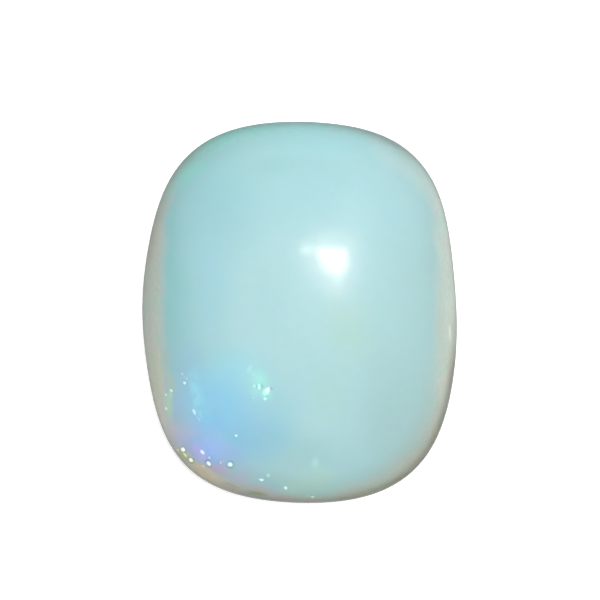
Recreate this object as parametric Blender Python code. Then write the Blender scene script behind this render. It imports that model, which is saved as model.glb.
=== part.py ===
"""Opal cabochon: one polished, cushion-shaped stone that lies on its flat back.

Metres, +Z up. The origin is the middle of the stone's footprint, on the flat back. The stone's
length runs along Y, its width along X, and the dome faces up.
"""

import math

import bmesh
import bpy
from mathutils import Vector

STONE_NAME = "opal_cabochon"

# The stone's overall size.
LENGTH = 0.0120
WIDTH = 0.0099
HEIGHT = 0.0044

# The girdle is the widest line of the stone. Below it a ground bevel leads in to the flat back.
GIRDLE_HEIGHT = 0.00075
BACK_INSET = 0.00042
BEVEL_SWEEP = math.radians(62.0)
BEVEL_RINGS = 4

# The girdle's outline is between an ellipse, at 0, and a square-cornered loop, at 1.
SQUARENESS = 0.37

# How far the hand-ground girdle strays from that outline: waves round the stone, height, one crest.
GRINDING_WAVES = (
    (2, 0.000092, math.radians(-82.5)),
    (3, 0.000026, math.radians(-53.0)),
    (5, 0.000010, math.radians(-28.5)),
    (6, 0.000028, math.radians(-4.0)),
)

# Facets along one side of the dome's grid, an even number, so that one row lies on the girdle.
DOME_CELLS = 28

# Finish seen from a step away: milky aqua under a wet-looking polish.
OPAL_COLOUR = (0.44, 0.73, 0.77, 1.0)
OPAL_ROUGHNESS = 0.12
OPAL_IOR = 1.45


def clear_scene():
    """Remove whatever the file holds before the stone is built."""
    for obj in list(bpy.data.objects):
        bpy.data.objects.remove(obj, do_unlink=True)


def template_radius(angle, level):
    """Distance from the middle to one level curve of the dome, where
    (1 - s)(u^2 + v^2) + s(u^4 + v^4) = level, for u = x / half width and v = y / half length.

    Near the crown, at level 0, the curves are close to ellipses. At level 1 the curve is the
    cushion of the girdle."""
    u_squared = (math.cos(angle) / (WIDTH / 2.0)) ** 2
    v_squared = (math.sin(angle) / (LENGTH / 2.0)) ** 2
    second = (1.0 - SQUARENESS) * (u_squared + v_squared)
    fourth = SQUARENESS * (u_squared**2 + v_squared**2)
    return math.sqrt((math.sqrt(second**2 + 4.0 * fourth * level) - second) / (2.0 * fourth))


def ground_point(angle, level, height, inset=0.0):
    """Point on the stone's skin as it was ground by hand, at a height and a level curve."""
    waves = sum(size * math.cos(count * (angle - crest)) for count, size, crest in GRINDING_WAVES)
    distance = template_radius(angle, level) + level * waves - inset
    return Vector((distance * math.cos(angle), distance * math.sin(angle), height))


def dome_point(direction):
    """Point on the dome for a direction on the upper half of a unit sphere."""
    lift = max(direction.z, 0.0)
    angle = math.atan2(direction.y, direction.x)
    height = GIRDLE_HEIGHT + (HEIGHT - GIRDLE_HEIGHT) * lift
    return ground_point(angle, 1.0 - lift**2, height)


def half_sphere_grid(cells):
    """A cube's surface above its middle, cut into cells and pushed out to a unit sphere."""
    grid = bmesh.new()
    bmesh.ops.create_cube(grid, size=2.0)
    bmesh.ops.subdivide_edges(grid, edges=grid.edges[:], cuts=cells - 1, use_grid_fill=True)
    below = [face for face in grid.faces if face.calc_center_median().z < 0.0]
    bmesh.ops.delete(grid, geom=below, context="FACES")
    for vert in grid.verts:
        vert.co.normalize()
    return grid


def add_bevel_and_back(stone):
    """Draw the girdle's edge down and in, ring by ring, and close it with the flat back."""
    rim = [edge for edge in stone.edges if edge.is_boundary]
    for ring in range(1, BEVEL_RINGS + 1):
        sweep = BEVEL_SWEEP * ring / BEVEL_RINGS
        inset = BACK_INSET * (1.0 - math.cos(sweep)) / (1.0 - math.cos(BEVEL_SWEEP))
        height = GIRDLE_HEIGHT * (1.0 - math.sin(sweep) / math.sin(BEVEL_SWEEP))
        made = bmesh.ops.extrude_edge_only(stone, edges=rim)["geom"]
        rim = [item for item in made if isinstance(item, bmesh.types.BMEdge) and item.is_boundary]
        for vert in {vert for edge in rim for vert in edge.verts}:
            angle = math.atan2(vert.co.y, vert.co.x)
            vert.co = ground_point(angle, 1.0, height, inset)
    bmesh.ops.contextual_create(stone, geom=rim)


def fit_to_size(stone):
    """Bring the stone's box to its width and length, with its middle over the origin."""
    for axis, size in ((0, WIDTH), (1, LENGTH)):
        low = min(vert.co[axis] for vert in stone.verts)
        high = max(vert.co[axis] for vert in stone.verts)
        for vert in stone.verts:
            vert.co[axis] = (vert.co[axis] - (low + high) / 2.0) * size / (high - low)


def opal_material():
    """Plain finish for the solid."""
    material = bpy.data.materials.new("milky_opal")
    material.use_nodes = True
    shader = material.node_tree.nodes["Principled BSDF"]
    shader.inputs["Base Color"].default_value = OPAL_COLOUR
    shader.inputs["Roughness"].default_value = OPAL_ROUGHNESS
    shader.inputs["Metallic"].default_value = 0.0
    shader.inputs["IOR"].default_value = OPAL_IOR
    return material


def build_cabochon(collection):
    """The whole stone: dome, girdle, ground bevel and flat back, as one closed body."""
    stone = half_sphere_grid(DOME_CELLS)
    for vert in stone.verts:
        vert.co = dome_point(vert.co)
    add_bevel_and_back(stone)
    fit_to_size(stone)
    bmesh.ops.recalc_face_normals(stone, faces=stone.faces[:])

    mesh = bpy.data.meshes.new(STONE_NAME)
    stone.to_mesh(mesh)
    stone.free()
    mesh.shade_smooth()
    mesh.materials.append(opal_material())
    collection.objects.link(bpy.data.objects.new(STONE_NAME, mesh))


def main():
    clear_scene()
    collection = bpy.data.collections.new("opal")
    bpy.context.scene.collection.children.link(collection)
    build_cabochon(collection)


main()
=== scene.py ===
"""Looks of an opal cabochon: one polished, milky aqua stone with fire in one corner.

Everything is in metres, +Z up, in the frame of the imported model. The stone lies on its flat
back with its length along Y. Its finish is laid out in millimetres on Object coordinates, so
that it stays on the stone from every side.
"""

import logging
import math
from dataclasses import dataclass
from enum import Enum

import bmesh
import bpy
from mathutils import Matrix, Vector, noise


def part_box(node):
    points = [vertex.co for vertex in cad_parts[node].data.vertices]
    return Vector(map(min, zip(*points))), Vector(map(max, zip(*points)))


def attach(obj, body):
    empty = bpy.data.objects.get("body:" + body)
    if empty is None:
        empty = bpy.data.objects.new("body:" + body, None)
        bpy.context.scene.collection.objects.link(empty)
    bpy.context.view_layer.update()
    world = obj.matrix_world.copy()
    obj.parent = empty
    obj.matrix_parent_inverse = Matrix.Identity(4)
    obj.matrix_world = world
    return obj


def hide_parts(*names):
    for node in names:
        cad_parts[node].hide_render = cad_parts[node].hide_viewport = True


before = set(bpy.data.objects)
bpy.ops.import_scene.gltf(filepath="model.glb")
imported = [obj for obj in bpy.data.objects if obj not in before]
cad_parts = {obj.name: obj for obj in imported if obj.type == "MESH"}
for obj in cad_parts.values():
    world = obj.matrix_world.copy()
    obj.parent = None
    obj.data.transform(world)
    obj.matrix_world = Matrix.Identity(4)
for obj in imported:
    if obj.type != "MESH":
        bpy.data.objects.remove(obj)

LOG = logging.getLogger("opal")
MM = 0.001
PIECE = "opal_stone"
BODY = "root"
CAD_NODE = "opal_cabochon"

FLOAT = "NodeSocketFloat"
VECTOR = "NodeSocketVector"

Node = bpy.types.Node
Socket = bpy.types.NodeSocket
Triple = tuple[float, float, float]
Colour = Triple
WHITE_LIGHT: Colour = (1.0, 1.0, 1.0)
WINDOW_LIGHT: Colour = (1.0, 0.78, 0.72)


def linear(red: int, green: int, blue: int) -> Colour:
    """Turn a colour as a screen shows it into the shader's own scale.

    Args:
        red: Red from 0 to 255.
        green: Green from 0 to 255.
        blue: Blue from 0 to 255.

    Returns:
        The same colour in linear light.
    """
    values = []
    for channel in (red, green, blue):
        share = channel / 255.0
        values.append(share / 12.92 if share <= 0.04045 else ((share + 0.055) / 1.055) ** 2.4)
    return tuple(values)


class Tint(Enum):
    """The colours that opal shows in its bright specks."""

    ICE = linear(232, 248, 253)
    MINT = linear(196, 250, 236)
    PEARL = linear(250, 253, 248)
    SHELL = linear(243, 238, 252)
    LEAF = linear(210, 234, 208)
    LEMON = linear(234, 238, 204)
    PEACH = linear(222, 208, 188)


class NodeDraft:
    """A node tree being drawn up, with one short call for each kind of step it needs."""

    def __init__(self, tree: bpy.types.NodeTree) -> None:
        """Start on a tree.

        Args:
            tree: The material's, group's or world's node tree.
        """
        self.tree = tree

    def add(self, kind: str, **settings: object) -> Node:
        """Add a node.

        Args:
            kind: The node's type name.
            **settings: Attributes to set on it.

        Returns:
            The new node.
        """
        node = self.tree.nodes.new(kind)
        for name, value in settings.items():
            setattr(node, name, value)
        return node

    def feed(self, socket: Socket, value: object) -> None:
        """Link an output to a socket, or write a plain value in it.

        Args:
            socket: The input socket.
            value: An output socket, a number, a colour or a vector.
        """
        if isinstance(value, Socket):
            self.tree.links.new(value, socket)
        elif socket.type == "RGBA":
            socket.default_value = (*value[:3], 1.0)
        else:
            socket.default_value = value

    def fill(self, node: Node, **values: object) -> Node:
        """Feed a node's inputs by name.

        Args:
            node: The node.
            **values: Its inputs, with spaces in their names as underscores.

        Returns:
            The node.
        """
        for name, value in values.items():
            self.feed(node.inputs[name.replace("_", " ")], value)
        return node

    def math(self, operation: str, *values: object) -> Socket:
        """Work on up to three numbers.

        Args:
            operation: The Math node's operation.
            *values: Numbers or outputs.

        Returns:
            The result.
        """
        node = self.add("ShaderNodeMath", operation=operation)
        for socket, value in zip(node.inputs, values):
            self.feed(socket, value)
        return node.outputs[0]

    def vector(self, operation: str, *values: object) -> Socket:
        """Work on up to three vectors.

        Args:
            operation: The Vector Math node's operation.
            *values: Vectors or outputs.

        Returns:
            The result, a number for LENGTH and a vector otherwise.
        """
        node = self.add("ShaderNodeVectorMath", operation=operation)
        for socket, value in zip(node.inputs, values):
            self.feed(socket, value)
        return node.outputs["Value" if operation == "LENGTH" else "Vector"]

    def axes(self, vector: object) -> Node:
        """Split a vector into its X, Y and Z outputs."""
        return self.fill(self.add("ShaderNodeSeparateXYZ"), Vector=vector)

    def ramp(
        self, value: object, start: object, end: object, low: object = 0.0, high: object = 1.0
    ) -> Socket:
        """Ease from one number to another.

        Args:
            value: What is read.
            start: The reading at which the low end is left.
            end: The reading at which the high end is reached.
            low: The result at the start.
            high: The result at the end.

        Returns:
            The eased number.
        """
        node = self.add("ShaderNodeMapRange", interpolation_type="SMOOTHSTEP", clamp=True)
        self.fill(node, Value=value, From_Min=start, From_Max=end, To_Min=low, To_Max=high)
        return node.outputs["Result"]

    def mix(self, amount: object, under: object, over: object, blend: str = "MIX") -> Socket:
        """Lay one colour over another.

        Args:
            amount: How much of the upper one shows.
            under: The lower colour.
            over: The upper colour.
            blend: The way they combine.

        Returns:
            The mixed colour.
        """
        node = self.add("ShaderNodeMix", data_type="RGBA", blend_type=blend, clamp_factor=True)
        factor, lower, upper = (
            socket for socket in node.inputs if socket.enabled and not socket.hide
        )
        self.feed(factor, amount)
        self.feed(lower, under)
        self.feed(upper, over)
        return next(socket for socket in node.outputs if socket.enabled)

    def noise(
        self, place: object, scale: float, detail: float = 2.0, roughness: float = 0.5
    ) -> Node:
        """Add a cloud of noise.

        Args:
            place: Where it is read, in millimetres.
            scale: Cycles per millimetre.
            detail: Octaves of finer noise.
            roughness: How strong the finer octaves are.

        Returns:
            The Noise Texture node.
        """
        node = self.add("ShaderNodeTexNoise")
        return self.fill(node, Vector=place, Scale=scale, Detail=detail, Roughness=roughness)

    def shake(self, place: object, cloud: Node, reach: Triple) -> Socket:
        """Let a place wander with a cloud of noise.

        Args:
            place: The place, in millimetres.
            cloud: The noise, which has a mean of 0.5.
            reach: How far apart its lowest and highest values put a place, along each axis.

        Returns:
            The wandering place, in millimetres.
        """
        away = self.vector("SUBTRACT", cloud.outputs["Color"], (0.5, 0.5, 0.5))
        return self.vector("ADD", place, self.vector("MULTIPLY", away, reach))

    def ring(
        self, turn: object, stops: list[tuple[float, tuple[float, float, float, float]]]
    ) -> Node:
        """Run through colours all the way round a circle.

        Args:
            turn: The share of a whole turn from -X, as a radial gradient gives it.
            stops: Each colour's direction, in degrees from +X towards +Y, and the colour.

        Returns:
            The Color Ramp node.
        """
        node = self.fill(self.add("ShaderNodeValToRGB"), Fac=turn)
        node.color_ramp.interpolation = "EASE"
        around = sorted(((direction / 360.0 + 0.5) % 1.0, colour) for direction, colour in stops)
        (first, first_colour), (last, last_colour) = around[0], around[-1]
        share = (1.0 - last) / (1.0 - last + first)
        seam = tuple(a + (b - a) * share for a, b in zip(last_colour, first_colour))
        for end in node.color_ramp.elements:
            end.color = seam
        for position, colour in around:
            node.color_ramp.elements.new(position).color = colour
        return node

    def group(self, tree: bpy.types.NodeTree, **values: object) -> Node:
        """Place a node group.

        Args:
            tree: The group.
            **values: Its inputs.

        Returns:
            The group's node.
        """
        return self.fill(self.add("ShaderNodeGroup", node_tree=tree), **values)


def new_material(name: str) -> tuple[bpy.types.Material, NodeDraft, Node]:
    """Start a material.

    Args:
        name: The material's name.

    Returns:
        The material, the draft of its tree and its shader.
    """
    material = bpy.data.materials.new(name)
    material.use_nodes = True
    return material, NodeDraft(material.node_tree), material.node_tree.nodes["Principled BSDF"]


def add_object(
    name: str, shape: bmesh.types.BMesh, material: bpy.types.Material
) -> bpy.types.Object:
    """Put a finished shape in the scene.

    Args:
        name: The object's name.
        shape: The shape, which is freed.
        material: Its finish.

    Returns:
        The object.
    """
    mesh = bpy.data.meshes.new(name)
    shape.to_mesh(mesh)
    shape.free()
    mesh.materials.append(material)
    made = bpy.data.objects.new(name, mesh)
    bpy.context.scene.collection.objects.link(made)
    return made


def new_group(
    name: str, inputs: dict[str, str], outputs: dict[str, str]
) -> tuple[NodeDraft, Node, Node]:
    """Start a shader node group.

    Args:
        name: The group's name.
        inputs: Each input's name and socket kind.
        outputs: Each output's name and socket kind.

    Returns:
        The draft of its tree, its input node and its output node.
    """
    tree = bpy.data.node_groups.new(name, "ShaderNodeTree")
    for side, sockets in (("INPUT", inputs), ("OUTPUT", outputs)):
        for label, kind in sockets.items():
            tree.interface.new_socket(name=label, in_out=side, socket_type=kind)
    draft = NodeDraft(tree)
    return draft, draft.add("NodeGroupInput"), draft.add("NodeGroupOutput")


def add_turned_offset(draft: NodeDraft, given: Node) -> Socket:
    """Measure how far a place is from a middle, along axes that are turned about Z.

    Args:
        draft: The group's nodes.
        given: The group's inputs, with Place, Middle and Turn.

    Returns:
        The offset in millimetres.
    """
    away = draft.vector("SUBTRACT", given.outputs["Place"], given.outputs["Middle"])
    angle = draft.math("MULTIPLY", given.outputs["Turn"], -1.0)
    turned = draft.add("ShaderNodeVectorRotate", rotation_type="Z_AXIS")
    return draft.fill(turned, Vector=away, Angle=angle).outputs[0]


def add_ellipsoid(draft: NodeDraft, given: Node) -> Socket:
    """Measure how far a place is from the middle of a turned ellipsoid.

    Args:
        draft: The group's nodes.
        given: The group's inputs, with Place, Middle, Size and Turn.

    Returns:
        The distance, which is 1 on the ellipsoid's skin.
    """
    offset = add_turned_offset(draft, given)
    return draft.vector("LENGTH", draft.vector("DIVIDE", offset, given.outputs["Size"]))


def soft_patch_group() -> bpy.types.NodeTree:
    """Build the mask of a soft-edged patch: 1 in its core and 0 at its edge.

    Returns:
        The group.
    """
    inputs = {"Place": VECTOR, "Middle": VECTOR, "Size": VECTOR, "Turn": FLOAT, "Core": FLOAT}
    draft, given, result = new_group("Soft patch", inputs, {"Mask": FLOAT})
    distance = add_ellipsoid(draft, given)
    draft.fill(result, Mask=draft.ramp(distance, start=1.0, end=given.outputs["Core"]))
    return draft.tree


def spark_group() -> bpy.types.NodeTree:
    """Build the masks of a bright speck and of the thin dark ring round it.

    Returns:
        The group.
    """
    inputs = {"Place": VECTOR, "Middle": VECTOR, "Size": VECTOR, "Turn": FLOAT}
    draft, given, result = new_group("Spark", inputs, {"Core": FLOAT, "Ring": FLOAT})
    distance = add_ellipsoid(draft, given)
    core = draft.ramp(distance, start=1.0, end=0.45)
    inner = draft.ramp(distance, start=0.9, end=1.15)
    outer = draft.ramp(distance, start=1.75, end=1.2)
    draft.fill(result, Core=core, Ring=draft.math("MULTIPLY", inner, outer))
    return draft.tree


def light_fold_group() -> bpy.types.NodeTree:
    """Build the mask of a fold of light: crisp along one bent edge, fading away from it.

    Returns:
        The group.
    """
    inputs = {"Place": VECTOR, "Middle": VECTOR, "Size": VECTOR, "Turn": FLOAT, "Bend": FLOAT}
    draft, given, result = new_group("Light fold", inputs, {"Mask": FLOAT})
    offset = add_turned_offset(draft, given)
    parts = draft.axes(offset)
    size = draft.axes(given.outputs["Size"])
    square = draft.math("MULTIPLY", parts.outputs["Y"], parts.outputs["Y"])
    edge = draft.math("MULTIPLY", square, given.outputs["Bend"])
    away = draft.math("SUBTRACT", parts.outputs["X"], edge)
    mask = draft.ramp(away, start=-0.09, end=0.08)
    across = draft.math("DIVIDE", away, size.outputs["X"])
    mask = draft.math("MULTIPLY", mask, draft.ramp(across, start=1.0, end=0.1))
    for axis in ("Y", "Z"):
        far = draft.math("ABSOLUTE", draft.math("DIVIDE", parts.outputs[axis], size.outputs[axis]))
        mask = draft.math("MULTIPLY", mask, draft.ramp(far, start=1.0, end=0.25))
    draft.fill(result, Mask=mask)
    return draft.tree


@dataclass(frozen=True)
class Patch:
    """A soft-edged patch of colour in the stone. Places and sizes are in millimetres.

    Attributes:
        name: What the patch is.
        x: Its middle, across the stone.
        y: Its middle, along the stone.
        wide: Half its width.
        long: Half its length.
        colour: The base colour that it brings.
        amount: How much of that colour shows in the middle.
        turn: How far it is turned about Z, in degrees.
        core: The share of its reach that has its full strength.
        deep: Half its height.
    """

    name: str
    x: float
    y: float
    wide: float
    long: float
    colour: Colour
    amount: float
    turn: float = 0.0
    core: float = 0.0
    deep: float = 2.6


@dataclass(frozen=True)
class Fold:
    """A fold of light in the stone, crisp along one edge. Sizes are in millimetres.

    Attributes:
        name: What the fold is.
        x: The middle of its edge, across the stone.
        y: The middle of its edge, along the stone.
        wide: How far it fades out from its edge.
        long: Half the edge's length.
        colour: The base colour that it brings.
        amount: How much of that colour shows at the edge.
        turn: How far it is turned about Z, in degrees.
        bend: How far the edge's ends curve away, for each square millimetre.
        deep: Half its height.
    """

    name: str
    x: float
    y: float
    wide: float
    long: float
    colour: Colour
    amount: float
    turn: float = 0.0
    bend: float = 0.0
    deep: float = 1.6


@dataclass(frozen=True)
class Spark:
    """One bright speck of fire near the skin. Places and sizes are in millimetres.

    Attributes:
        x: Its middle, across the stone.
        y: Its middle, along the stone.
        reach: Half its width.
        glow: How bright it is, from 0 to 1, in its colour and in its painted glow.
        tint: Its colour.
        stretch: Its length over its width.
        turn: How far its length is turned from Y, in degrees.
        ring: How dark the thin ring round it is, from 0 to 1.
    """

    x: float
    y: float
    reach: float
    glow: float
    tint: Tint
    stretch: float = 1.0
    turn: float = 0.0
    ring: float = 0.0


@dataclass(frozen=True)
class RimZone:
    """One stretch of the low wall round the stone, painted with the light that comes through its
    thin edge and with shade or light at the girdle.

    Attributes:
        name: What it looks like.
        direction: Where it is, in degrees from +X towards +Y.
        colour: Its base colour, which paints the warm light that comes through the thin edge.
        climb: How high up the wall it reaches, in millimetres.
        foot: How bright the wall is at the girdle, compared with its colour: painted shade below 1
            and painted light above 1.
        shade: How strong the painted shade is, in the darker, greener band over the wall, from 0 to
            1.
        fade: How far to each side of its top it fades out, in millimetres.
    """

    name: str
    direction: float
    colour: Colour
    climb: float
    foot: float = 1.0
    shade: float = 0.0
    fade: float = 0.26


@dataclass
class Cabochon:
    """The stone's own shape: dome, girdle, ground bevel and flat back. Sizes are in metres.

    Attributes:
        length: Size along Y.
        width: Size along X.
        height: Size from the back to the crown.
        girdle_height: How far the widest line is above the back.
        back_inset: How far the bevel leads in below the girdle.
        bevel_sweep: The angle that the bevel's arc turns through.
        back_round: How far the edge between bevel and back is rounded.
        squareness: The outline, between an ellipse at 0 and a square-cornered loop at 1.
        grinding_waves: Waves round the girdle: how many, how high, and where one crest is.
        polish_depth: How deep the hand polish dips the skin.
        polish_span: The distance between dips.
        cells: Cells along one side of the dome's grid.
        bevel_rings: Rows of cells down the bevel.
        bevel_arc_share: The share of those rows that the bevel's arc takes up.
        weld: How far apart two points are, at most, that become one.
    """

    length: float = 0.0120
    width: float = 0.0099
    height: float = 0.0044
    girdle_height: float = 0.00075
    back_inset: float = 0.00042
    bevel_sweep: float = math.radians(62.0)
    back_round: float = 0.00006
    squareness: float = 0.37
    grinding_waves: tuple[tuple[int, float, float], ...] = (
        (2, 0.000092, math.radians(-82.5)),
        (3, 0.000026, math.radians(-53.0)),
        (5, 0.000010, math.radians(-28.5)),
        (6, 0.000028, math.radians(-4.0)),
    )
    polish_depth: float = 0.000004
    polish_span: float = 0.0016
    cells: int = 112
    bevel_rings: int = 14
    bevel_arc_share: float = 0.82
    weld: float = 0.000004

    def template_radius(self, angle: float, level: float) -> float:
        """Find how far one level curve of the dome is from the middle.

        Args:
            angle: Direction in plan.
            level: 0 at the crown and 1 at the girdle.

        Returns:
            The distance r at which (1 - s)(u^2 + v^2) + s(u^4 + v^4) is the level, for
            u = x / half width and v = y / half length.
        """
        u_squared = (math.cos(angle) / (self.width / 2.0)) ** 2
        v_squared = (math.sin(angle) / (self.length / 2.0)) ** 2
        second = (1.0 - self.squareness) * (u_squared + v_squared)
        fourth = self.squareness * (u_squared**2 + v_squared**2)
        root = math.sqrt(second**2 + 4.0 * fourth * level)
        return math.sqrt((root - second) / (2.0 * fourth))

    def ground_point(
        self, angle: float, level: float, height: float, inset: float = 0.0
    ) -> Vector:
        """Place a point on the skin as it was ground by hand.

        Args:
            angle: Direction in plan.
            level: Level curve, from 0 at the crown to 1 at the girdle.
            height: Height above the back.
            inset: How far it is drawn in from that curve.

        Returns:
            The point, before the stone is fitted to its box.
        """
        waves = sum(
            size * math.cos(count * (angle - crest)) for count, size, crest in self.grinding_waves
        )
        distance = self.template_radius(angle, level) + level * waves - inset
        return Vector((distance * math.cos(angle), distance * math.sin(angle), height))

    def dome_point(self, direction: Vector) -> Vector:
        """Place a point on the dome.

        Args:
            direction: A direction on the upper half of a unit sphere.

        Returns:
            The point.
        """
        lift = max(direction.z, 0.0)
        angle = math.atan2(direction.y, direction.x)
        height = self.girdle_height + (self.height - self.girdle_height) * lift
        return self.ground_point(angle, 1.0 - lift**2, height)

    def back_point(self, direction: Vector) -> Vector:
        """Place a point on the flat back.

        Args:
            direction: A direction on the lower half of a unit sphere.

        Returns:
            The point.
        """
        angle = math.atan2(direction.y, direction.x)
        share = math.acos(min(-direction.z, 1.0)) / (math.pi / 2.0)
        rim = self.ground_point(angle, 1.0, 0.0, self.back_inset + self.back_round)
        return Vector((rim.x * share, rim.y * share, 0.0))

    def bevel_section(self, share: float) -> tuple[float, float]:
        """Follow the bevel from the girdle down to the back.

        Args:
            share: 0 at the girdle and 1 at the back.

        Returns:
            How far in from the girdle the skin is there, and how high.
        """
        bottom = self.back_round / 2.0
        arc_inset = self.back_inset - bottom
        roll_inset = self.back_inset + self.back_round - arc_inset
        if share <= self.bevel_arc_share:
            sweep = self.bevel_sweep * share / self.bevel_arc_share
            inset = (1.0 - math.cos(sweep)) / (1.0 - math.cos(self.bevel_sweep))
            drop = math.sin(sweep) / math.sin(self.bevel_sweep)
            return arc_inset * inset, bottom + (self.girdle_height - bottom) * (1.0 - drop)
        roll = (share - self.bevel_arc_share) / (1.0 - self.bevel_arc_share) * math.pi / 2.0
        softness = 1.5
        height = bottom * (1.0 - math.sin(roll)) ** softness
        return arc_inset + roll_inset * math.sin(roll), height

    def half_sphere_grid(self, upper: bool) -> bmesh.types.BMesh:
        """Cut a cube's skin into cells, push it out to a unit sphere and keep one half.

        Args:
            upper: Whether the upper half is kept.

        Returns:
            The grid, open at its rim.
        """
        grid = bmesh.new()
        bmesh.ops.create_cube(grid, size=2.0)
        bmesh.ops.subdivide_edges(
            grid, edges=grid.edges[:], cuts=self.cells - 1, use_grid_fill=True
        )
        away = [face for face in grid.faces if (face.calc_center_median().z < 0.0) == upper]
        bmesh.ops.delete(grid, geom=away, context="FACES")
        for vert in grid.verts:
            vert.co.normalize()
        return grid

    def build_mesh(self) -> bmesh.types.BMesh:
        """Model the whole stone as one closed skin.

        Returns:
            The mesh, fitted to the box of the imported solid.
        """
        stone = self.half_sphere_grid(upper=True)
        for vert in stone.verts:
            vert.co = self.dome_point(vert.co)
        rim = [edge for edge in stone.edges if edge.is_boundary]
        for ring in range(1, self.bevel_rings + 1):
            inset, height = self.bevel_section(ring / self.bevel_rings)
            made = bmesh.ops.extrude_edge_only(stone, edges=rim)["geom"]
            rim = [item for item in made if isinstance(item, bmesh.types.BMEdge)]
            rim = [edge for edge in rim if edge.is_boundary]
            for vert in {vert for edge in rim for vert in edge.verts}:
                angle = math.atan2(vert.co.y, vert.co.x)
                vert.co = self.ground_point(angle, 1.0, height, inset)

        back = self.half_sphere_grid(upper=False)
        for vert in back.verts:
            vert.co = self.back_point(vert.co)
        flat = bpy.data.meshes.new("back_grid")
        back.to_mesh(flat)
        back.free()
        stone.from_mesh(flat)
        bpy.data.meshes.remove(flat)
        bmesh.ops.remove_doubles(stone, verts=stone.verts[:], dist=self.weld)
        self.fit_to_box(stone)
        self.polish(stone)
        bmesh.ops.recalc_face_normals(stone, faces=stone.faces[:])
        return stone

    def fit_to_box(self, stone: bmesh.types.BMesh) -> None:
        """Bring the stone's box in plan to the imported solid's.

        Args:
            stone: The whole stone.
        """
        box_low, box_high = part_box(CAD_NODE)
        for axis in (0, 1):
            low = min(vert.co[axis] for vert in stone.verts)
            high = max(vert.co[axis] for vert in stone.verts)
            stretch = (box_high[axis] - box_low[axis]) / (high - low)
            shift = (box_low[axis] + box_high[axis]) / 2.0 - (low + high) / 2.0 * stretch
            for vert in stone.verts:
                vert.co[axis] = vert.co[axis] * stretch + shift

    def polish(self, stone: bmesh.types.BMesh) -> None:
        """Dip the dome a few thousandths of a millimetre where the hand polish wandered.

        Args:
            stone: The whole stone.
        """
        for vert in stone.verts:
            if vert.co.z <= self.girdle_height:
                continue
            dip = (1.0 + noise.noise(vert.co / self.polish_span)) / 2.0
            fade = min((vert.co.z - self.girdle_height) / self.girdle_height, 1.0)
            vert.co -= vert.co.normalized() * self.polish_depth * dip * fade

    def skin_point(self, x: float, y: float) -> Triple:
        """Place a point on the dome over a point in plan, all in millimetres."""
        return x, y, self.skin_height(x, y)

    def skin_height(self, x: float, y: float) -> float:
        """Find how high the dome is over a point in plan.

        Args:
            x: Place across the stone, in millimetres.
            y: Place along the stone, in millimetres.

        Returns:
            The height above the back, in millimetres.
        """
        u_squared = (x * MM / (self.width / 2.0)) ** 2
        v_squared = (y * MM / (self.length / 2.0)) ** 2
        level = (1.0 - self.squareness) * (u_squared + v_squared) + self.squareness * (
            u_squared**2 + v_squared**2
        )
        lift = math.sqrt(max(1.0 - level, 0.0))
        return (self.girdle_height + (self.height - self.girdle_height) * lift) / MM

    def skin_slope(self, x: float, y: float) -> float:
        """Find how steep the dome is over a point in plan.

        Args:
            x: Place across the stone, in millimetres.
            y: Place along the stone, in millimetres.

        Returns:
            The drop for each millimetre outwards.
        """
        step = 0.02
        east = (self.skin_height(x + step, y) - self.skin_height(x - step, y)) / (2.0 * step)
        north = (self.skin_height(x, y + step) - self.skin_height(x, y - step)) / (2.0 * step)
        return math.hypot(east, north)

    def make(self, material: bpy.types.Material) -> bpy.types.Object:
        """Build the stone's object, smooth all over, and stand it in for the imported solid.

        Args:
            material: The stone's finish.

        Returns:
            The finished piece.
        """
        piece = add_object(PIECE, self.build_mesh(), material)
        piece.data.shade_smooth()
        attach(piece, BODY)
        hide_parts(CAD_NODE)
        LOG.info("%s: %d faces", PIECE, len(piece.data.polygons))
        return piece


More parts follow.
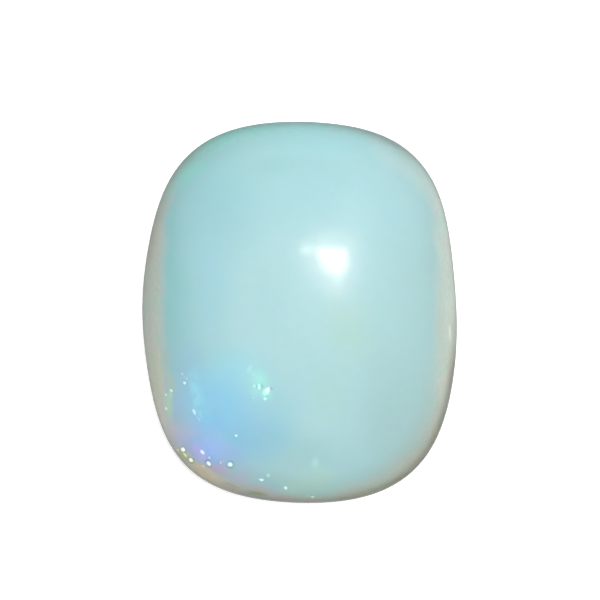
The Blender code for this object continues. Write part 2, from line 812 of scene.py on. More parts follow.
@dataclass(frozen=True)
class OpalFinish:
    """Milky opal under a high polish, with its fire, a warm rim of painted light and shade, and its
    ground back.

    Attributes:
        body: The main body colour.
        shoulder_shade: Painted shade, a cooler and darker colour where the dome starts to fall
            away.
        body_left: The greener body colour towards -X.
        body_right: The duller body colour towards +X.
        pearl: The paler colour that clouds the body.
        back: The colour of the ground back.
        back_dark: The colour of the thin bands in the back.
        back_cover: How much of the back's colours hides what is under them.
        band_shade: What the darker band of painted shade over the wall keeps of the light.
        ring_shade: The colour of the thin dark rings round the specks.
        speck_light: How strongly the specks shine by themselves, as a painted glow.
        refraction: The stone's refractive index.
        milkiness: How much of the light goes into the stone.
        scatter: How far red, green and blue light spread in it, each as a share of their reach.
        scatter_reach: That reach, in metres.
        polish: The roughness of the skin where it is clean, and where it is smudged.
        coat_roughness: The roughness of the wet polish over it.
        ground_roughness: How much rougher the ground back is.
        ground_coat: How much of the wet polish the ground back has.
        ripple_depth: How deep the polish ripples, in metres.
        grinding_depth: How deep the grinding lines in the back are, in metres.
        wander: How far the body, the rim and the soft patches wander, in millimetres.
        raggedness: How far the specks' edges wander, in millimetres.
        tallest_wall: The highest that a zone of the low wall can reach, in millimetres.
        rim: The zones of the low wall, round the stone, with painted light through the edge and
            painted shade at the girdle.
        patches: Soft patches of colour with wandering edges, the lower ones first.
        folds: Folds of light.
        marks: Smaller patches that keep their place.
        sparks: Bright specks of fire.
    """

    body: Colour = linear(154, 190, 193)
    shoulder_shade: Colour = linear(143, 186, 189)
    body_left: Colour = linear(139, 183, 187)
    body_right: Colour = linear(147, 180, 180)
    pearl: Colour = linear(159, 193, 196)
    back: Colour = linear(196, 200, 188)
    back_dark: Colour = linear(168, 176, 160)
    back_cover: float = 0.85
    band_shade: Colour = (0.86, 0.96, 0.93)
    ring_shade: Colour = (0.13, 0.18, 0.19)
    speck_light: float = 0.35
    refraction: float = 1.45
    milkiness: float = 0.5
    scatter: Triple = (1.0, 0.85, 0.7)
    scatter_reach: float = 0.0003
    polish: tuple[float, float] = (0.29, 0.36)
    coat_roughness: float = 0.12
    ground_roughness: float = 0.25
    ground_coat: float = 0.12
    ripple_depth: float = 0.0000018
    grinding_depth: float = 0.000006
    wander: Triple = (0.5, 0.5, 0.3)
    raggedness: float = 0.06
    tallest_wall: float = 4.0
    # The rim paints light and shade: each colour is warm light through the thin edge, a foot under
    # 1 is painted shade at the girdle, darkest to the lower right, a foot over 1 is painted light,
    # and a shade darkens a band over the wall.
    rim: tuple[RimZone, ...] = (
        RimZone("cream", 5.0, linear(184, 198, 188), 2.72, 1.17, fade=0.55),
        RimZone("lime", 27.0, linear(181, 197, 189), 2.42, 1.17, fade=0.45),
        RimZone("slate", 49.0, linear(169, 190, 186), 2.25, 1.09, fade=0.40),
        RimZone("clear", 62.0, linear(160, 188, 184), 2.1, 0.86, fade=0.36),
        RimZone("cyan", 86.0, linear(152, 199, 200), 2.50, 0.99, 0.1),
        RimZone("sea_green", 112.0, linear(137, 194, 189), 2.35, 1.02, 0.4),
        RimZone("moss", 136.0, linear(147, 176, 171), 2.10, 1.06, 0.6),
        RimZone("sandstone", 152.0, linear(173, 179, 168), 2.55, 0.88, 0.9),
        RimZone("beige", 171.0, linear(168, 181, 171), 2.92, 1.03, 0.8),
        RimZone("fawn", 188.0, linear(173, 185, 175), 2.86, 1.09, 0.6),
        RimZone("pale_olive", 206.0, linear(184, 190, 172), 2.74, 1.09, 0.1, 0.34),
        RimZone("rose_grey", 224.0, linear(187, 190, 187), 2.45, 1.19),
        RimZone("peach", 240.0, linear(198, 195, 173), 2.34, 1.13),
        RimZone("khaki", 255.0, linear(175, 179, 174), 2.30, 1.05),
        RimZone("pearl_grey", 273.0, linear(185, 191, 184), 2.05, 0.92, fade=0.40),
        RimZone("smoke", 288.0, linear(175, 181, 165), 2.38, 0.88, fade=0.60),
        RimZone("umber", 308.0, linear(172, 176, 161), 2.62, 0.86, fade=0.62),
        RimZone("sand", 323.0, linear(175, 182, 170), 2.66, 0.80, fade=0.60),
        RimZone("dusk_sand", 339.0, linear(180, 190, 175), 2.68, 0.58, fade=0.60),
        RimZone("straw", 352.0, linear(186, 196, 183), 2.70, 0.96, fade=0.58),
    )
    patches: tuple[Patch, ...] = (
        Patch("dim_upper_left", -2.53, 3.49, 2.6, 2.6, linear(134, 181, 185), 0.7),
        Patch("cool_top", 0.0, 4.60, 3.4, 1.4, linear(144, 186, 188), 0.7),
        Patch("pale_top", 0.76, 5.28, 3.2, 0.9, linear(151, 197, 201), 0.7),
        Patch("dusk_top", -0.92, 4.55, 1.0, 0.5, linear(140, 182, 183), 0.6),
        Patch("blue_upper_right", 3.08, 3.11, 1.6, 2.0, linear(148, 186, 192), 0.6),
        Patch("cool_upper", 0.0, 3.40, 3.2, 1.5, linear(144, 188, 192), 0.5),
        Patch("blue_breath", -2.75, 1.00, 0.9, 2.8, linear(145, 187, 197), 0.7),
        Patch("grey_breath", 2.30, -0.80, 1.6, 3.0, linear(150, 184, 182), 0.4),
        Patch("leaf_haze", 1.41, -0.46, 1.1, 1.7, linear(156, 188, 177), 0.6, turn=15.0),
        Patch("leaf_haze_low", 0.94, -2.38, 0.9, 1.6, linear(154, 188, 181), 0.5),
        Patch("dull_lower_right", 2.88, -3.08, 2.2, 3.0, linear(144, 175, 175), 0.7),
        Patch("green_foot", 0.37, -5.25, 1.5, 0.9, linear(160, 199, 188), 0.7),
        Patch("shade_low", 0.20, -4.15, 1.9, 1.0, linear(143, 183, 185), 0.75),
        Patch("light_foot", -0.25, -5.50, 0.6, 0.25, linear(168, 200, 184), 0.6),
        Patch("blush_right", 4.32, -0.20, 0.28, 2.0, linear(170, 176, 168), 0.5),
        Patch("peach_right", 4.35, 1.95, 0.26, 0.9, linear(192, 198, 186), 0.35, turn=12.0),
        Patch("pale_corner", 3.50, 4.30, 0.50, 1.2, linear(169, 194, 190), 0.7, turn=34.0),
        Patch("pale_shoulder", 2.70, 4.80, 0.48, 1.1, linear(168, 195, 195), 0.6, turn=50.0),
        Patch("sea_corner", -3.45, 4.24, 0.50, 1.0, linear(134, 195, 187), 0.85, turn=-52.0),
        Patch("rosy_corner", -4.12, 3.35, 0.30, 0.8, linear(160, 177, 170), 0.6, turn=-32.0),
        Patch("rosy_left", -4.19, 1.92, 0.28, 0.7, linear(160, 181, 178), 0.6, turn=-12.0),
        Patch("rosy_left_low", -4.05, -1.40, 0.26, 0.6, linear(156, 179, 177), 0.7, turn=8.0),
        Patch("warm_left", -4.18, -0.50, 0.28, 0.9, linear(168, 181, 176), 0.6, turn=3.0),
        Patch("cool_hem", -0.75, -3.05, 1.5, 1.3, linear(138, 185, 191), 0.6),
        Patch("blue_veil", -2.52, -2.97, 2.9, 2.4, linear(138, 184, 201), 0.9, turn=-10.0),
        Patch("cyan_haze", -2.03, -1.80, 1.5, 1.1, linear(141, 194, 202), 0.8, turn=15.0),
        Patch("grey_blue", -3.44, -1.82, 0.75, 1.7, linear(136, 178, 194), 0.75, turn=-8.0),
        Patch("shade_by_wall", -3.67, -3.00, 0.55, 1.3, linear(148, 178, 203), 0.8, turn=15.0),
        Patch("sky", -2.57, -2.87, 1.5, 1.5, linear(130, 185, 208), 1.0, core=0.25),
        Patch("blue_reach", -1.66, -3.84, 1.6, 1.2, linear(126, 178, 203), 0.9, turn=5.0),
        Patch("blue_hem", -0.87, -3.85, 1.0, 0.9, linear(134, 180, 193), 0.8),
        Patch("deep_blue", -2.72, -3.37, 0.8, 0.7, linear(124, 179, 213), 0.9),
        Patch("lilac_shade", -3.03, -3.97, 1.0, 0.9, linear(146, 176, 213), 0.9, turn=-20.0),
        Patch("periwinkle", -2.82, -4.26, 0.90, 0.70, linear(145, 177, 226), 0.95, core=0.15),
        Patch("mauve", -3.57, -3.88, 0.5, 0.8, linear(170, 178, 208), 0.8, turn=-35.0),
        Patch("rose", -3.88, -3.66, 0.42, 0.7, linear(184, 179, 196), 0.5, turn=-34.0),
    )
    folds: tuple[Fold, ...] = (
        Fold("curtain", -3.27, -2.60, 0.50, 1.20, linear(138, 201, 217), 0.86, 15.0, 0.13),
        Fold("green_fold", 0.18, -5.05, 1.6, 1.10, linear(158, 194, 184), 0.35, -38.0, 0.10),
    )
    marks: tuple[Patch, ...] = (
        Patch("green_edge", -4.05, -2.84, 0.25, 0.66, linear(171, 204, 178), 0.8, 6.0, deep=1.2),
        Patch("green_trail", -3.96, -2.50, 0.10, 0.28, linear(178, 214, 190), 0.65, 4.0, deep=0.8),
        Patch("olive_wall", -3.98, -2.14, 0.27, 0.62, linear(167, 184, 162), 0.6, 18.0, deep=1.4),
        Patch("blue_corner", -2.05, -4.34, 0.62, 0.55, linear(143, 170, 211), 0.7, deep=1.2),
        Patch("lilac_reach", -1.70, -4.85, 0.60, 0.36, linear(158, 172, 198), 0.5, deep=1.0),
        Patch("magenta", -3.20, -4.22, 0.38, 0.34, linear(189, 174, 221), 0.6, -30.0, deep=0.9),
        Patch("magenta_low", -3.02, -4.47, 0.30, 0.25, linear(191, 179, 222), 0.65, deep=0.8),
        Patch("lavender", -3.65, -3.83, 0.26, 0.36, linear(168, 178, 210), 0.6, -30.0, deep=1.0),
        Patch("olive", -3.57, -4.45, 0.25, 0.52, linear(186, 199, 162), 0.85, 48.0, 0.3, 0.9),
        Patch("tan", -2.94, -4.89, 0.22, 0.54, linear(203, 191, 166), 0.78, 58.0, 0.3, 0.8),
        Patch("pink_foot", -2.50, -4.84, 0.25, 0.62, linear(185, 162, 193), 0.85, 74.0, deep=0.8),
        Patch("violet_step", -2.42, -4.65, 0.32, 0.22, linear(164, 161, 204), 0.6, deep=0.6),
        Patch("pink_end", -1.90, -5.12, 0.70, 0.30, linear(179, 171, 194), 0.65, -12.0, deep=0.8),
        Patch("grey_step", -2.86, -4.72, 0.15, 0.15, linear(192, 192, 188), 0.6, deep=0.6),
        Patch("ash_foot", -2.20, -5.40, 0.20, 0.60, linear(180, 188, 180), 0.65, 70.0, 0.2, 0.8),
        Patch("rose_grey", -1.22, -5.40, 0.13, 0.50, linear(184, 174, 178), 0.8, 78.0, 0.2, 0.7),
        Patch("rose_edge", -0.58, -5.72, 0.12, 0.60, linear(183, 178, 177), 0.75, 86.0, 0.2, 0.7),
        Patch("moss_streak", -2.12, -5.34, 0.10, 0.42, linear(158, 166, 142), 0.7, 68.0, 0.1, 0.7),
        Patch("moss_edge", -1.30, -5.62, 0.14, 0.46, linear(148, 160, 122), 0.85, 79.0, 0.1, 0.8),
        Patch("mint_wash", -1.21, -2.14, 0.58, 0.85, linear(150, 207, 200), 0.5, 12.0, deep=1.4),
        Patch("mint_lobe", -1.21, -2.00, 0.30, 0.42, linear(150, 213, 205), 0.6, 20.0, deep=1.0),
        Patch("mint_low", -1.34, -2.36, 0.22, 0.27, linear(152, 208, 201), 0.5, deep=1.0),
        Patch("mint_right", -1.00, -2.48, 0.27, 0.25, linear(150, 210, 200), 0.6, deep=1.0),
        Patch("smudge", -1.51, -1.69, 0.12, 0.23, linear(164, 211, 214), 0.6, -28.0, deep=1.0),
        Patch("smudge_tail", -1.40, -1.83, 0.10, 0.16, linear(158, 210, 206), 0.5, 35.0, deep=1.0),
        Patch("mint_veil", 0.47, -4.58, 0.18, 0.26, linear(165, 213, 203), 0.6, -8.0, deep=0.8),
        Patch("fleck_shade", -1.13, -2.21, 0.06, 0.12, linear(112, 172, 168), 0.8, 10.0, deep=0.4),
        Patch("fleck_gap", -1.29, -2.22, 0.045, 0.08, linear(112, 176, 174), 0.8, deep=0.4),
        Patch("fleck_side", -0.84, -2.28, 0.045, 0.08, linear(116, 160, 166), 0.9, 20.0, deep=0.4),
        Patch("fleck_foot", -0.98, -2.52, 0.12, 0.04, linear(116, 192, 184), 0.7, 8.0, deep=0.4),
        Patch("thread_up", -3.44, -2.02, 0.035, 0.13, linear(176, 216, 236), 0.6, -28.0, deep=0.5),
        Patch("thread_down", -3.51, -1.95, 0.035, 0.16, linear(158, 200, 222), 0.5, 38.0, deep=0.5),
    )
    sparks: tuple[Spark, ...] = (
        Spark(-1.024, -2.391, 0.130, 0.26, Tint.MINT, 1.2, -40.0),
        Spark(-0.965, -2.330, 0.090, 0.36, Tint.SHELL, 1.5, -25.0),
        Spark(-1.222, -2.230, 0.065, 0.36, Tint.MINT, 1.7),
        Spark(-1.368, -2.207, 0.065, 0.18, Tint.MINT),
        Spark(-1.389, -2.573, 0.055, 0.08, Tint.ICE),
        Spark(-1.043, -2.594, 0.075, 0.32, Tint.MINT),
        Spark(-3.506, -2.142, 0.064, 0.42, Tint.ICE, ring=0.2),
        Spark(-3.581, -1.867, 0.050, 0.16, Tint.ICE),
        Spark(-3.958, -2.390, 0.052, 0.60, Tint.LEAF, 1.9, 85.0),
        Spark(-4.135, -2.530, 0.050, 0.52, Tint.LEAF, 1.4, 60.0),
        Spark(-4.125, -2.968, 0.058, 0.66, Tint.LEAF, 1.3),
        Spark(-3.212, -3.029, 0.068, 0.32, Tint.ICE, 2.0, 14.0),
        Spark(-3.090, -3.230, 0.040, 0.10, Tint.ICE, 3.6, 40.0),
        Spark(-1.924, -3.734, 0.055, 0.46, Tint.ICE),
        Spark(-3.616, -4.245, 0.090, 0.95, Tint.PEARL, 1.0, 0.0, 0.30),
        Spark(-3.556, -4.420, 0.050, 0.75, Tint.LEMON, 2.4, 35.0),
        Spark(-3.790, -4.290, 0.055, 0.50, Tint.LEMON),
        Spark(-3.369, -4.575, 0.088, 0.95, Tint.PEARL, 1.0, 0.0, 0.50),
        Spark(-2.989, -4.286, 0.078, 0.56, Tint.ICE, 1.4, 40.0),
        Spark(-2.770, -4.456, 0.055, 0.28, Tint.ICE, ring=0.2),
        Spark(-2.801, -4.653, 0.080, 0.72, Tint.PEARL, 1.3, 20.0, 0.5),
        Spark(-2.991, -4.757, 0.060, 0.35, Tint.PEACH, 1.4, 70.0),
        Spark(-2.424, -4.605, 0.050, 0.24, Tint.ICE, 1.5),
        Spark(-2.337, -4.558, 0.040, 0.14, Tint.ICE),
        Spark(-2.131, -4.657, 0.093, 0.62, Tint.ICE, 1.1, -30.0, 0.5),
        Spark(-1.178, -5.142, 0.064, 0.58, Tint.ICE, 1.4, 88.0),
        Spark(-0.965, -4.994, 0.085, 0.22, Tint.MINT),
        Spark(-0.432, -5.408, 0.062, 0.58, Tint.ICE, 1.4, 20.0),
        Spark(0.402, -5.717, 0.050, 0.70, Tint.LEAF, 1.6, 80.0),
        Spark(0.244, -5.682, 0.045, 0.18, Tint.LEAF, 2.0, 90.0),
        Spark(4.640, -0.620, 0.070, 0.16, Tint.PEARL, 5.0, 3.0),
    )

    def make(self, stone: Cabochon) -> bpy.types.Material:
        """Build the stone's material.

        Args:
            stone: The stone, which says how high its skin is over a place in plan.

        Returns:
            The material.
        """
        material, draft, shader = new_material("polished_opal")
        place = self.place_in_millimetres(draft)
        drift = draft.noise(place, scale=0.8, detail=3.0, roughness=0.55)
        loose = draft.shake(place, drift, self.wander)

        colour = self.body_colour(draft, loose)
        colour = self.lay_rim(draft, loose, colour)
        colour = self.lay_patches(draft, loose, colour, stone, self.patches)
        colour = self.lay_folds(draft, place, colour, stone)
        colour = self.lay_patches(draft, place, colour, stone, self.marks)
        colour = self.cloud(draft, place, colour)
        colour, glow = self.lay_sparks(draft, place, colour, stone)
        colour, ground = self.lay_back(draft, place, colour)
        self.finish_skin(draft, place, ground, shader)

        # The specks' emission is a painted glow; the stone is no lamp.
        draft.fill(
            shader,
            Base_Color=colour,
            Emission_Color=glow,
            Emission_Strength=self.speck_light,
            IOR=self.refraction,
            Subsurface_Weight=self.milkiness,
            Subsurface_Radius=self.scatter,
            Subsurface_Scale=self.scatter_reach,
            Coat_Roughness=self.coat_roughness,
            Coat_IOR=self.refraction,
        )
        return material

    def place_in_millimetres(self, draft: NodeDraft) -> Socket:
        """Read where on the stone a point is.

        Args:
            draft: The material's nodes.

        Returns:
            The place, in millimetres from the middle of the back.
        """
        on_object = draft.add("ShaderNodeTexCoord").outputs["Object"]
        mapping = draft.add("ShaderNodeMapping", vector_type="POINT")
        return draft.fill(mapping, Vector=on_object, Scale=(1.0 / MM,) * 3).outputs["Vector"]

    def body_colour(self, draft: NodeDraft, place: Socket) -> Socket:
        """Mix the milky body, greener to the left, duller to the right, with pale clouds and
        painted shade where the dome falls away.

        Args:
            draft: The material's nodes.
            place: The wandering place, in millimetres.

        Returns:
            The body colour.
        """
        parts = draft.axes(place)
        cloud = draft.noise(place, scale=0.42, detail=4.0, roughness=0.55).outputs["Fac"]
        pale = draft.ramp(cloud, start=0.42, end=0.72, high=0.8)
        colour = draft.mix(pale, self.body, self.pearl)
        # Painted shade: cooler and darker where the dome starts to fall away.
        shoulder = draft.ramp(parts.outputs["Z"], start=3.9, end=2.9, high=0.4)
        colour = draft.mix(shoulder, colour, self.shoulder_shade)
        left = draft.ramp(parts.outputs["X"], start=-1.4, end=-4.2)
        right = draft.ramp(parts.outputs["X"], start=1.6, end=4.2)
        colour = draft.mix(left, colour, self.body_left)
        return draft.mix(right, colour, self.body_right)

    def lay_rim(self, draft: NodeDraft, place: Socket, colour: Socket) -> Socket:
        """Lay the zones of the low wall round the stone: painted light through the thin edge,
        painted shade or light at the girdle, and a band of painted shade over the wall.

        Args:
            draft: The material's nodes.
            place: The wandering place, in millimetres.
            colour: The colour under them.

        Returns:
            The colour with the rim.
        """
        gradient = draft.add("ShaderNodeTexGradient", gradient_type="RADIAL")
        direction = draft.fill(gradient, Vector=place).outputs["Fac"]
        # A colour ramp holds nothing above 1, so brightness is stored as a share of this.
        headroom = 2.0
        zones = draft.ring(
            direction,
            [(zone.direction, (*zone.colour, zone.climb / self.tallest_wall)) for zone in self.rim],
        )
        feet = draft.ring(
            direction,
            [
                (zone.direction, (zone.foot / headroom, zone.fade, 0.0, zone.shade))
                for zone in self.rim
            ],
        )
        traits = draft.fill(draft.add("ShaderNodeSeparateColor"), Color=feet.outputs["Color"])
        height = draft.axes(place).outputs["Z"]
        climb = draft.math("MULTIPLY", zones.outputs["Alpha"], self.tallest_wall)
        above = draft.math("SUBTRACT", height, climb)

        # Painted shade: a darker, greener band just over each zone's top.
        rise = draft.ramp(above, start=0.0, end=0.3)
        fall = draft.ramp(above, start=0.95, end=0.4)
        band = draft.math("MULTIPLY", rise, fall)
        band = draft.math("MULTIPLY", band, feet.outputs["Alpha"])
        shaded = draft.mix(1.0, colour, self.band_shade, "MULTIPLY")
        colour = draft.mix(band, colour, shaded)

        blush = draft.noise(place, scale=1.6, roughness=0.6).outputs["Fac"]
        plain = 1.0 / headroom
        # Painted shade or light at the girdle: from 2.32 mm down to 1.65 mm the wall eases to each
        # zone's foot, and lower down back to plain.
        foot = draft.ramp(height, start=2.32, end=1.65, low=plain, high=traits.outputs["Red"])
        wobble = 1.6
        lowered = draft.math("SUBTRACT", height, wobble / 2.0)
        uneven = draft.math("MULTIPLY_ADD", blush, wobble, lowered)
        foot = draft.ramp(uneven, start=1.52, end=1.02, low=foot, high=plain)
        wall = draft.mix(1.0, zones.outputs["Color"], foot, "MULTIPLY")

        grain = draft.noise(place, scale=7.0).outputs["Fac"]
        light = draft.ramp(grain, start=0.25, end=0.75, low=0.95 * headroom, high=1.05 * headroom)
        rosier = draft.ramp(blush, start=0.3, end=0.7, low=0.925, high=1.075)
        greener = draft.ramp(blush, start=0.3, end=0.7, low=1.02, high=0.98)
        lift = draft.add("ShaderNodeCombineColor")
        red = draft.math("MULTIPLY", light, rosier)
        green = draft.math("MULTIPLY", light, greener)
        draft.fill(lift, Red=red, Green=green, Blue=light)
        wall = draft.mix(1.0, wall, lift.outputs["Color"], "MULTIPLY")

        # The wall, with its painted light and shade, covers the colour up to each zone's top.
        fade = traits.outputs["Green"]
        reach = draft.ramp(above, start=fade, end=draft.math("MULTIPLY", fade, -1.0))
        return draft.mix(reach, colour, wall)

    def lay_patches(
        self,
        draft: NodeDraft,
        place: Socket,
        colour: Socket,
        stone: Cabochon,
        patches: tuple[Patch, ...],
    ) -> Socket:
        """Lay soft patches of colour over each other.

        Args:
            draft: The material's nodes.
            place: Where they are laid out, in millimetres.
            colour: The colour under them.
            stone: The stone, for the height of its skin.
            patches: The patches, the lowest first.

        Returns:
            The colour with the patches.
        """
        group = bpy.data.node_groups.get("Soft patch") or soft_patch_group()
        for patch in patches:
            node = draft.group(
                group,
                Place=place,
                Middle=stone.skin_point(patch.x, patch.y),
                Size=(patch.wide, patch.long, patch.deep),
                Turn=math.radians(patch.turn),
                Core=patch.core,
            )
            node.label = patch.name
            amount = draft.math("MULTIPLY", node.outputs["Mask"], patch.amount)
            colour = draft.mix(amount, colour, patch.colour)
        return colour

    def lay_folds(
        self, draft: NodeDraft, place: Socket, colour: Socket, stone: Cabochon
    ) -> Socket:
        """Lay the folds of light, which are crisp along one edge.

        Args:
            draft: The material's nodes.
            place: The place, in millimetres.
            colour: The colour under them.
            stone: The stone, for the height of its skin.

        Returns:
            The colour with the folds.
        """
        group = light_fold_group()
        thickness = draft.noise(place, scale=3.6).outputs["Fac"]
        uneven = draft.ramp(thickness, start=0.36, end=0.60, low=0.35)
        for fold in self.folds:
            node = draft.group(
                group,
                Place=place,
                Middle=stone.skin_point(fold.x, fold.y),
                Size=(fold.wide, fold.long, fold.deep),
                Turn=math.radians(fold.turn),
                Bend=fold.bend,
            )
            node.label = fold.name
            amount = draft.math("MULTIPLY", node.outputs["Mask"], fold.amount)
            amount = draft.math("MULTIPLY", amount, uneven)
            colour = draft.mix(amount, colour, fold.colour)
        return colour

    def cloud(self, draft: NodeDraft, place: Socket, colour: Socket) -> Socket:
        """Let the colour waver a little from place to place, as in any milky stone.

        Args:
            draft: The material's nodes.
            place: The place, in millimetres.
            colour: The colour.

        Returns:
            The wavering colour.
        """
        waver = draft.noise(place, scale=3.6, roughness=0.6).outputs["Color"]
        swing, lowest = (0.08, 0.06, 0.08), (0.96, 0.97, 0.96)
        waver = draft.vector("MULTIPLY_ADD", waver, swing, lowest)
        return draft.mix(1.0, colour, waver, "MULTIPLY")

    def lay_sparks(
        self, draft: NodeDraft, place: Socket, colour: Socket, stone: Cabochon
    ) -> tuple[Socket, Socket]:
        """Set the bright specks in the stone, those of one tint together.

        A speck is taller where the skin slopes, so that the skin still cuts it whole.

        Args:
            draft: The material's nodes.
            place: The place, in millimetres.
            colour: The colour under them.
            stone: The stone, for the height and slope of its skin.

        Returns:
            The colour with the specks, and their painted glow.
        """
        group = spark_group()
        place = draft.shake(place, draft.noise(place, scale=14.0), (self.raggedness,) * 3)
        break_up = draft.noise(place, scale=5.0, detail=1.0).outputs["Fac"]
        uneven = draft.ramp(break_up, start=0.38, end=0.58, low=0.25)
        slope_share = 1.5
        glow = (0.0, 0.0, 0.0)
        for tint in Tint:
            shine = 0.0
            ring = 0.0
            for spark in (spark for spark in self.sparks if spark.tint is tint):
                tall = spark.reach * (1.0 + slope_share * stone.skin_slope(spark.x, spark.y))
                node = draft.group(
                    group,
                    Place=place,
                    Middle=stone.skin_point(spark.x, spark.y),
                    Size=(spark.reach, spark.reach * spark.stretch, tall),
                    Turn=math.radians(spark.turn),
                )
                core = draft.math("MULTIPLY", node.outputs["Core"], spark.glow)
                shine = draft.math("MAXIMUM", shine, core)
                if spark.ring:
                    edge = draft.math("MULTIPLY", node.outputs["Ring"], spark.ring)
                    ring = draft.math("MAXIMUM", ring, edge)
            if isinstance(ring, Socket):
                ring = draft.math("MULTIPLY", ring, uneven)
                colour = draft.mix(ring, colour, self.ring_shade)
            colour = draft.mix(shine, colour, tint.value)
            glow = draft.mix(shine, glow, tint.value)
        return colour, glow

    def lay_back(self, draft: NodeDraft, place: Socket, colour: Socket) -> tuple[Socket, Socket]:
        """Colour the flat back, which is ground and not polished, and shows its bands.

        Args:
            draft: The material's nodes.
            place: The place, in millimetres.
            colour: The colour of the polished skin.

        Returns:
            The colour with the back, and how much of a place is ground and not polished.
        """
        ground = draft.ramp(draft.axes(place).outputs["Z"], start=0.62, end=0.03)
        drawn_out = draft.vector("MULTIPLY", place, (0.25, 1.1, 1.0))
        bands = draft.noise(drawn_out, scale=0.7, detail=4.0, roughness=0.6).outputs["Fac"]
        band = draft.ramp(bands, start=0.45, end=0.62)
        back = draft.mix(band, self.back, self.back_dark)
        cover = draft.math("MULTIPLY", ground, self.back_cover)
        return draft.mix(cover, colour, back), ground

    def finish_skin(self, draft: NodeDraft, place: Socket, ground: Socket, shader: Node) -> None:
        """Give the dome its wet polish and the back its fine grinding marks.

        Args:
            draft: The material's nodes.
            place: The place, in millimetres.
            ground: How much of a place is ground and not polished.
            shader: The material's shader.
        """
        clean, smudged = self.polish
        smudge = draft.noise(place, scale=1.3, detail=3.0).outputs["Fac"]
        skin = draft.ramp(smudge, start=0.3, end=0.7, low=clean, high=smudged)
        rougher = draft.math("MULTIPLY", ground, self.ground_roughness)
        roughness = draft.math("ADD", skin, rougher)
        coat = draft.ramp(ground, start=0.1, end=0.9, low=1.0, high=self.ground_coat)

        peel = draft.noise(place, scale=1.1).outputs["Fac"]
        drawn_out = draft.vector("MULTIPLY", place, (1.2, 14.0, 14.0))
        lines = draft.noise(drawn_out, scale=1.0, detail=3.0).outputs["Fac"]
        ripples = draft.math("MULTIPLY", peel, self.ripple_depth)
        lines = draft.math("MULTIPLY", lines, ground)
        lines = draft.math("MULTIPLY", lines, self.grinding_depth)
        height = draft.math("ADD", ripples, lines)
        bump = draft.fill(draft.add("ShaderNodeBump"), Strength=1.0, Distance=1.0, Height=height)
        draft.fill(shader, Roughness=roughness, Coat_Weight=coat, Normal=bump.outputs["Normal"])


@dataclass(frozen=True)
class SoftLight:
    """A flat lamp overhead, aimed at the middle of the stone's back.

    One that only the polish mirrors is an ellipse, and one that lights the scene a rectangle.

    Attributes:
        name: What it is.
        x: How far it stands towards +X for each metre of height.
        y: How far it stands towards +Y for each metre of height.
        wide: Its width for each metre of height.
        tall: Its length for each metre of height.
        radiance: How bright its face is.
        colour: The colour of its light.
        in_gloss: Whether it is there for the polish alone, or else for all but the polish.
        roll: How far its face is turned about its own aim, in degrees.
        rise: Its height over the floor, in metres.
    """

    name: str
    x: float
    y: float
    wide: float
    tall: float
    radiance: float
    colour: Colour = WINDOW_LIGHT
    in_gloss: bool = True
    roll: float = 0.0
    rise: float = 0.2

    def make(self) -> None:
        """Hang the lamp."""
        data = bpy.data.lights.new(self.name, "AREA")
        data.shape = "ELLIPSE" if self.in_gloss else "RECTANGLE"
        data.size = self.wide * self.rise
        data.size_y = self.tall * self.rise
        area = data.size * data.size_y * (math.pi / 4.0 if self.in_gloss else 1.0)
        data.energy = self.radiance * math.pi * area
        data.color = self.colour
        lamp = bpy.data.objects.new(self.name, data)
        place = Vector((self.x, self.y, 1.0)) * self.rise
        out = place.normalized()
        along = Vector((0.0, 1.0, 0.0)).cross(out).normalized()
        face = Matrix((along, out.cross(along), out)).transposed().to_4x4()
        roll = Matrix.Rotation(math.radians(self.roll), 4, "Z")
        lamp.matrix_world = Matrix.Translation(place) @ face @ roll
        lamp.visible_camera = False
        lamp.visible_glossy = self.in_gloss
        lamp.visible_diffuse = not self.in_gloss
        bpy.context.scene.collection.objects.link(lamp)


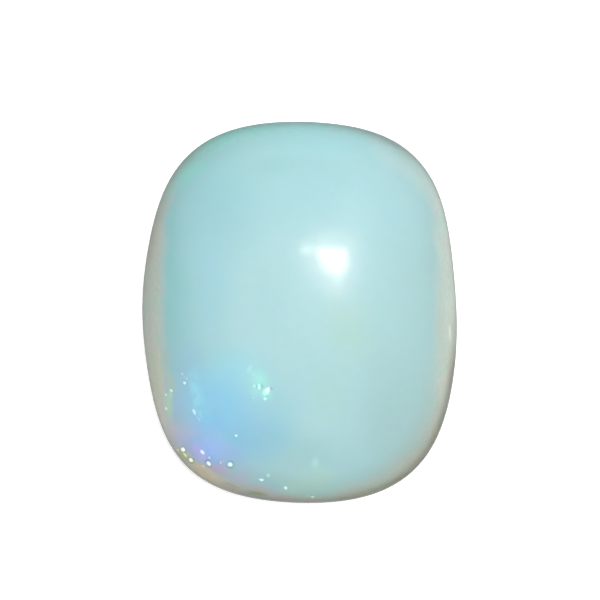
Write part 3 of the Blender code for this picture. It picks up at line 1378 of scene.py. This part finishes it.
@dataclass(frozen=True)
class Studio:
    """The pale floor, the soft light and the camera that looks down on the stone.

    Attributes:
        floor_reach: The floor disc's radius.
        floor_shade: The floor's base colour.
        floor_glow: How bright the floor shines by itself, as a light table does.
        air: How bright the white surroundings are.
        backdrop: How bright they look to the camera, which is as bright as the floor far off.
        table_dark: What the polish mirrors in place of the floor, as if from a darker table.
        table_near: The same right under the stone's edge, where the table catches its light.
        table_pale: The same to the stone's left and right, where the table is lit.
        table_turn: How much sooner the lit right side ends towards -Y than towards +Y.
        lens: The camera's focal length, in millimetres.
        sensor: The camera's sensor width, in millimetres.
        view_width: How much of the floor the picture is wide, at the girdle's height.
        look_at: Where the picture's middle is, in plan.
        lights: The lamps.
    """

    floor_reach: float = 2.0
    floor_shade: float = 0.9
    floor_glow: float = 0.3
    air: float = 0.45
    backdrop: float = 0.72
    table_dark: Colour = (0.07, 0.068, 0.06)
    table_near: Colour = (0.34, 0.34, 0.32)
    table_pale: Colour = (0.30, 0.30, 0.28)
    table_turn: float = 1.5
    lens: float = 150.0
    sensor: float = 36.0
    view_width: float = 0.018896
    look_at: tuple[float, float] = (0.000011, 0.000385)
    lights: tuple[SoftLight, ...] = (
        SoftLight(
            "overhead_softbox", 0.15, 0.17, 0.48, 0.48, 17.0, WHITE_LIGHT, in_gloss=False, rise=0.3
        ),
        SoftLight("window_pane", 0.241, 0.257, 0.190, 0.130, 15.0, roll=-12.0),
        SoftLight("window_corner", 0.295, 0.318, 0.090, 0.050, 9.0),
        SoftLight("window_arm", 0.142, 0.297, 0.090, 0.080, 16.5, roll=-20.0),
        SoftLight("window_heel", 0.160, 0.218, 0.090, 0.090, 6.5),
        SoftLight("window_top", 0.190, 0.388, 0.160, 0.080, 1.5),
        SoftLight("window_tip", 0.233, 0.192, 0.090, 0.060, 8.5),
        SoftLight("window_glow", 0.240, 0.270, 0.500, 0.440, 1.45),
        SoftLight("glint_left", 0.032, 0.316, 0.050, 0.036, 18.0),
        SoftLight("glint_low", 0.268, 0.146, 0.032, 0.030, 15.0),
        SoftLight("glint_lower", 0.205, 0.105, 0.025, 0.025, 18.0),
    )

    def make(self, girdle_height: float) -> None:
        """Set up the whole studio.

        Args:
            girdle_height: The height at which the picture's width is taken.
        """
        self.lay_floor()
        self.fill_air()
        for light in self.lights:
            light.make()
        self.set_camera(girdle_height)
        bpy.context.scene.view_settings.view_transform = "Standard"

    def lay_floor(self) -> None:
        """Lay a plain pale floor under the stone, which the polish doesn't mirror."""
        material, draft, shader = new_material("pale_floor")
        draft.fill(
            shader,
            Base_Color=(self.floor_shade,) * 3,
            Roughness=0.9,
            Specular_IOR_Level=0.1,
            Emission_Color=WHITE_LIGHT,
            Emission_Strength=self.floor_glow,
        )
        disc = bmesh.new()
        bmesh.ops.create_circle(disc, cap_ends=True, segments=96, radius=self.floor_reach)
        floor = add_object("pale_floor", disc, material)
        floor.visible_glossy = False

    def fill_air(self) -> None:
        """Surround the stone with even white light, over a table that only the polish mirrors.

        The table is dark, paler close under the stone, and lit to the left and right of it. To
        the right, the lit part ends sooner towards -Y, so that the lower right edge stays dark.
        """
        world = bpy.data.worlds.new("studio_air")
        world.use_nodes = True
        draft = NodeDraft(world.node_tree)
        aim = draft.axes(draft.add("ShaderNodeTexCoord").outputs["Generated"])
        below = draft.ramp(aim.outputs["Z"], start=0.04, end=-0.06)
        ray = draft.add("ShaderNodeLightPath")
        mirrored = draft.math("MULTIPLY", below, ray.outputs["Is Glossy Ray"])
        near = draft.ramp(aim.outputs["Z"], start=-0.88, end=-0.97)
        across = draft.math("ABSOLUTE", aim.outputs["X"])
        along = draft.math("ABSOLUTE", aim.outputs["Y"])
        right = draft.math("GREATER_THAN", aim.outputs["X"], 0.0)
        low = draft.math("MULTIPLY", aim.outputs["Y"], -self.table_turn)
        low = draft.math("MAXIMUM", low, 0.0)
        along = draft.math("MULTIPLY_ADD", right, low, along)
        lit_side = draft.ramp(draft.math("SUBTRACT", across, along), start=0.0, end=0.35)
        table = draft.mix(near, self.table_dark, self.table_near)
        table = draft.mix(lit_side, table, self.table_pale)
        background = world.node_tree.nodes["Background"]
        white = draft.mix(ray.outputs["Is Camera Ray"], (self.air,) * 3, (self.backdrop,) * 3)
        draft.feed(background.inputs["Color"], draft.mix(mirrored, white, table))
        bpy.context.scene.world = world

    def set_camera(self, girdle_height: float) -> None:
        """Hang the camera straight above the stone.

        Args:
            girdle_height: The height at which the picture's width is taken.
        """
        data = bpy.data.cameras.new("camera")
        data.lens = self.lens
        data.sensor_width = self.sensor
        data.clip_start = 0.001
        data.clip_end = 2.0
        camera = bpy.data.objects.new("camera", data)
        rise = self.view_width * self.lens / self.sensor
        camera.location = (*self.look_at, girdle_height + rise)
        bpy.context.scene.collection.objects.link(camera)
        bpy.context.scene.camera = camera


def main() -> None:
    """Build the stone, its finish and the studio."""
    logging.basicConfig(level=logging.INFO, format="%(name)s: %(message)s")
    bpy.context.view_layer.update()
    stone = Cabochon()
    stone.make(OpalFinish().make(stone))
    Studio().make(stone.girdle_height)
    LOG.info("studio: floor, lamps and camera")


if __name__ == "__main__":
    main()
